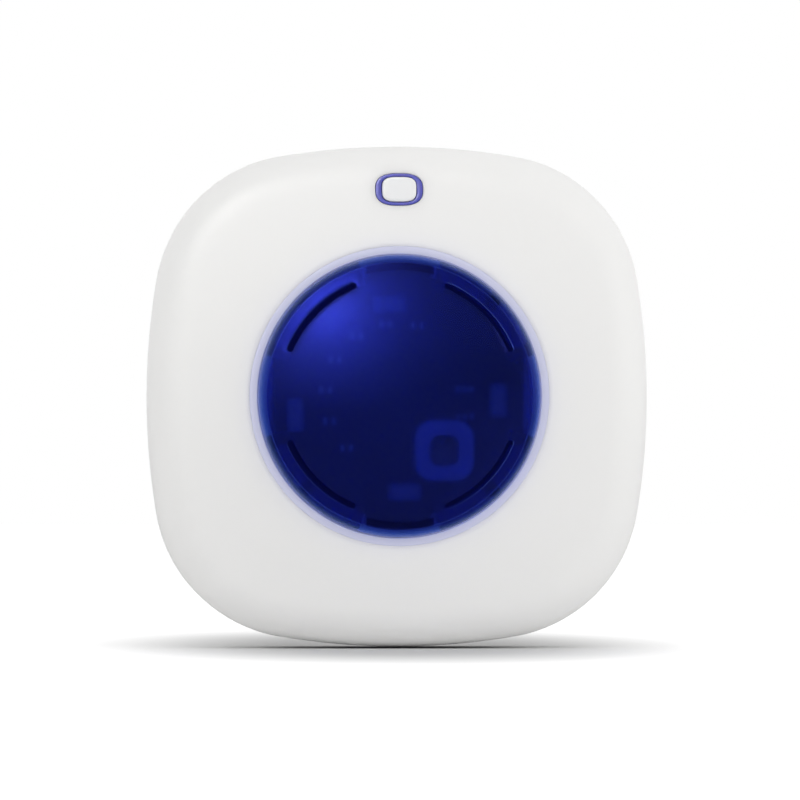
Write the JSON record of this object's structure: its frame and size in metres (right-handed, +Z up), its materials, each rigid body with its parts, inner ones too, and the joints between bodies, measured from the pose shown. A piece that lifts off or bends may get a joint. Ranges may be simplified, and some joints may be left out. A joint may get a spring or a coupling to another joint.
{
  "type": "plug-in strobe siren",
  "caption": "Rounded-square white indoor alarm siren with a blue strobe dome, a framed push button and a round mains plug boss with pins behind.",
  "frame": {"origin": "centre of the flat back that lies against the wall, on the plug's axis", "axes": "+X to the right of someone facing the siren, +Y into the wall along the plug, +Z up towards the button"},
  "size_m": [0.093, 0.075, 0.093],
  "materials": {
    "white_case": "fine satin moulded plastic",
    "dome_blue": "clear blue moulded plastic",
    "milky_ring": "milky translucent plastic",
    "button_blue": "blue translucent plastic",
    "button_white": "smooth moulded plastic",
    "port_white": "moulded plastic",
    "plate_grey": "blank printed film",
    "board_dark": "dark solder resist",
    "board_green": "green solder resist",
    "led_body": "white ceramic-like moulding",
    "led_lens": "phosphor gel",
    "chip_black": "moulded epoxy",
    "siren_black": "moulded plastic",
    "brass_sheet": "rolled sheet",
    "piezo_white": "silvered ceramic",
    "lead_red": "insulated wire",
    "lead_brown": "insulated wire",
    "wire_black": "insulated wire",
    "connector_cream": "moulded nylon",
    "tin_can": "tinned sheet",
    "fuse_glass": "clear tube",
    "plated_cap": "nickel plate",
    "varistor_blue": "dipped lacquer",
    "ferrite": "sintered ferrite",
    "winding_tape": "winding tape",
    "capacitor_sleeve": "shrunk sleeve",
    "pin_nickel": "nickel-plated brass",
    "screw_steel": "zinc-plated steel",
    "switch_black": "moulded nylon",
    "indicator_blue": "clear resin"
  },
  "bodies": {
    "case": {"front_cover": "white_case", "rear_cover": "white_case", "rating_plate": "plate_grey", "light_ring": "milky_ring", "dome_lens": "dome_blue", "button_ring": "button_blue", "lamp_board": "board_dark", "strobe_leds": "led_body", "led_lenses": "led_lens", "led_driver": "chip_black", "lamp_chips": "chip_black", "sound_port": "port_white", "siren_cup": "siren_black", "siren_cap": "siren_black", "piezo_disc": "brass_sheet", "piezo_element": "piezo_white", "siren_leads": "lead_red", "lead_connector": "connector_cream", "main_board": "board_green", "board_link": "siren_black", "processor": "chip_black", "main_chips": "chip_black", "radio_module": "board_green", "radio_can": "tin_can", "antenna_wire": "wire_black", "fuse_tube": "fuse_glass", "fuse_caps": "plated_cap", "varistor": "varistor_blue", "rectifier": "chip_black", "choke": "ferrite", "indicator_led": "indicator_blue", "switch_case": "switch_black", "transformer_core": "ferrite", "transformer_winding": "winding_tape", "supply_capacitor": "capacitor_sleeve", "live_pin": "pin_nickel", "neutral_pin": "pin_nickel", "pin_retainer": "port_white", "mains_leads": "lead_brown", "case_screws": "screw_steel", "board_screws": "screw_steel", "retainer_screws": "screw_steel"},
    "button": {"button_cap": "button_white"},
    "plunger": {"switch_plunger": "switch_black"}
  },
  "joints": [
    {"name": "button_press", "type": "slide", "parent": "case", "child": "button", "axis": [0, 1, 0], "range_m": [0, 0.0005], "stiffness_N_per_m": 1200, "springref_m": -0.0003},
    {"name": "plunger_press", "type": "slide", "parent": "case", "child": "plunger", "axis": [0, 1, 0], "range_m": [0, 0.0005]}
  ],
  "couplings": [
    {"joint": "plunger_press", "follows": "button_press", "ratio": 1}
  ]
}
